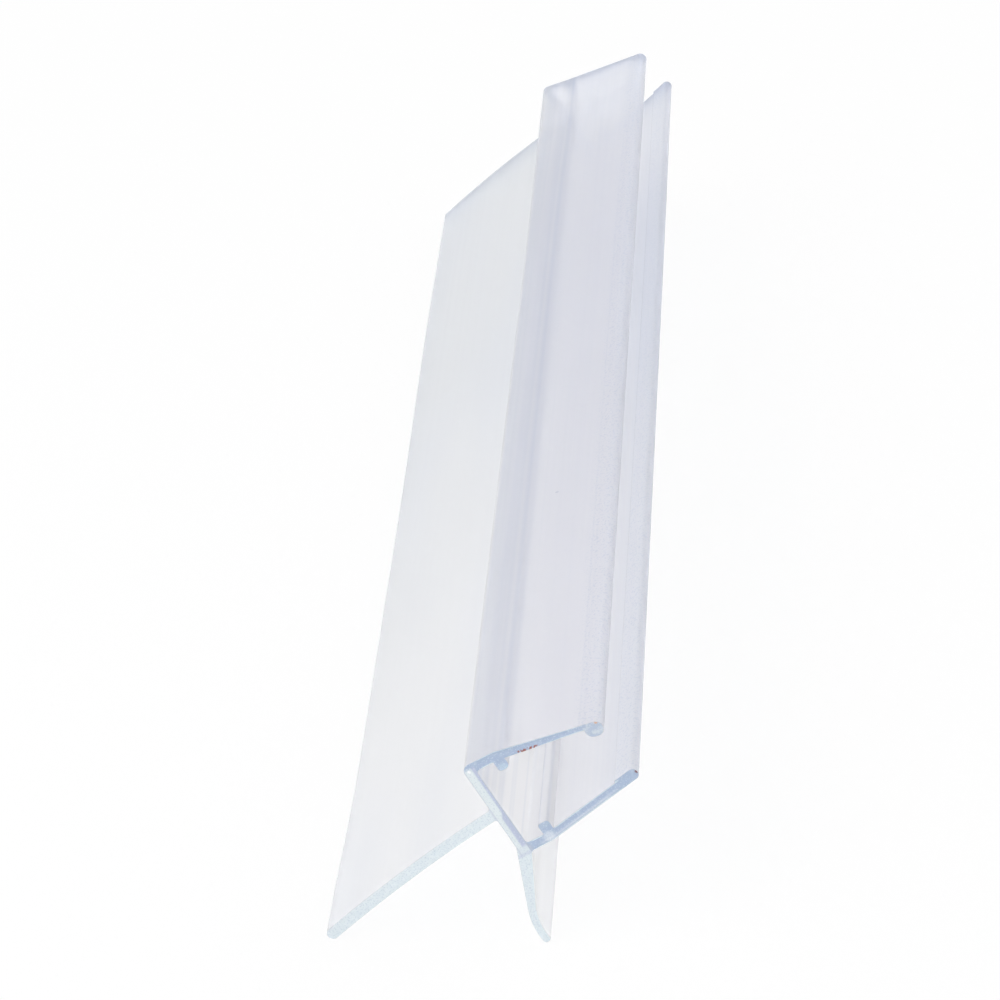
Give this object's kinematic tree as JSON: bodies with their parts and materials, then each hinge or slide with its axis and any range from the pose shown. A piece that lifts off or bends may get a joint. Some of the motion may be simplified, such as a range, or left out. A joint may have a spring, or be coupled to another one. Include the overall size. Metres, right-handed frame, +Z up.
{
  "type": "shower door seal strip",
  "caption": "Clear PVC seal strip with a slot that clips onto the edge of a glass shower door, a long flat wiping fin and a short curved sealing fin.",
  "frame": {"origin": "centre of the strip's footprint, on the table that its two fin tips rest on", "axes": "+Y along the strip; +X towards the side that the glass slot opens to; +Z up with the strip at rest on its fin tips"},
  "size_m": [0.0334, 0.2, 0.027],
  "materials": {
    "clear_pvc": "clear PVC, slightly milky, with fine lines along the extrusion"
  },
  "bodies": {
    "root": {"seal_strip": "clear_pvc"}
  },
  "joints": []
}
